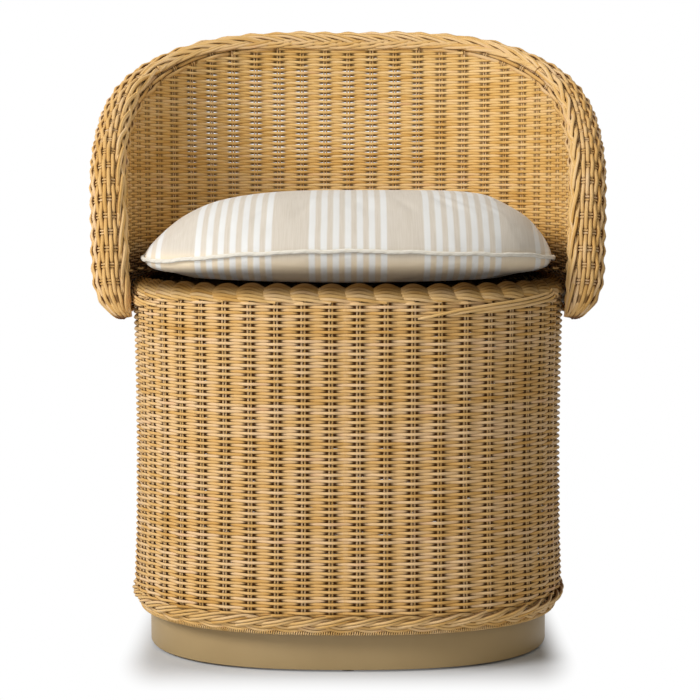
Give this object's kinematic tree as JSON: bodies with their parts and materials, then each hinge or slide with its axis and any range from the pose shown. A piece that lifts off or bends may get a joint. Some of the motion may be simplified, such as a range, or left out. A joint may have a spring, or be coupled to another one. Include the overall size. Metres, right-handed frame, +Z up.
{
  "type": "outdoor dining chair",
  "caption": "Woven barrel dining armchair: oval drum base on a plinth, wrap-round back with a rolled edge, loose seat cushion.",
  "frame": {"origin": "middle of the footprint on the floor, under the middle of the bounding box", "axes": "+Z up, -Y towards where the sitter faces, +X to the right seen from the front"},
  "size_m": [0.658, 0.556, 0.8109],
  "materials": {
    "frame_tube": "brushed, mill finish",
    "steel_fitting": "brushed",
    "glide_plastic": "matte",
    "plinth_paint": "satin powder coat",
    "wicker": "satin round synthetic strand",
    "wicker_plait": "satin round synthetic strand, plaited",
    "striped_cloth": "woven, beige with white stripes",
    "welt_cloth": "woven, off-white",
    "foam": "open-cell foam"
  },
  "bodies": {
    "chair": {"back_hem_plait": "wicker_plait", "back_hoop": "frame_tube", "back_lower_rail": "frame_tube", "back_rim_plait": "wicker_plait", "back_roll_weave": "wicker", "back_stub_1": "frame_tube", "back_stub_2": "frame_tube", "back_stub_3": "frame_tube", "back_stub_4": "frame_tube", "back_stub_5": "frame_tube", "back_stub_6": "frame_tube", "back_weave": "wicker", "bracket_screw_1": "steel_fitting", "bracket_screw_2": "steel_fitting", "bracket_screw_3": "steel_fitting", "bracket_screw_4": "steel_fitting", "bracket_screw_5": "steel_fitting", "bracket_screw_6": "steel_fitting", "drum_hem_plait": "wicker_plait", "drum_weave": "wicker", "frame_bottom_ring": "frame_tube", "frame_post_1": "frame_tube", "frame_post_2": "frame_tube", "frame_post_3": "frame_tube", "frame_post_4": "frame_tube", "frame_post_5": "frame_tube", "frame_post_6": "frame_tube", "frame_seat_ring": "frame_tube", "glide_1": "glide_plastic", "glide_2": "glide_plastic", "glide_3": "glide_plastic", "glide_4": "glide_plastic", "glide_5": "glide_plastic", "glide_6": "glide_plastic", "plinth_foot_flange": "plinth_paint", "plinth_top_flange": "plinth_paint", "plinth_wall": "plinth_paint", "ring_bracket_1": "steel_fitting", "ring_bracket_2": "steel_fitting", "ring_bracket_3": "steel_fitting", "ring_bracket_4": "steel_fitting", "ring_bracket_5": "steel_fitting", "ring_bracket_6": "steel_fitting", "seat_cross_bar_1": "frame_tube", "seat_cross_bar_2": "frame_tube", "seat_cross_bar_3": "frame_tube", "seat_deck_weave": "wicker"},
    "cushion": {"cushion_bottom_cover": "striped_cloth", "cushion_core": "foam", "cushion_top_cover": "striped_cloth", "cushion_welt": "welt_cloth"}
  },
  "joints": [
    {"name": "cushion_lift", "type": "slide", "parent": "chair", "child": "cushion", "axis": [0, 0, 1], "range_m": [0, 0.35]}
  ]
}
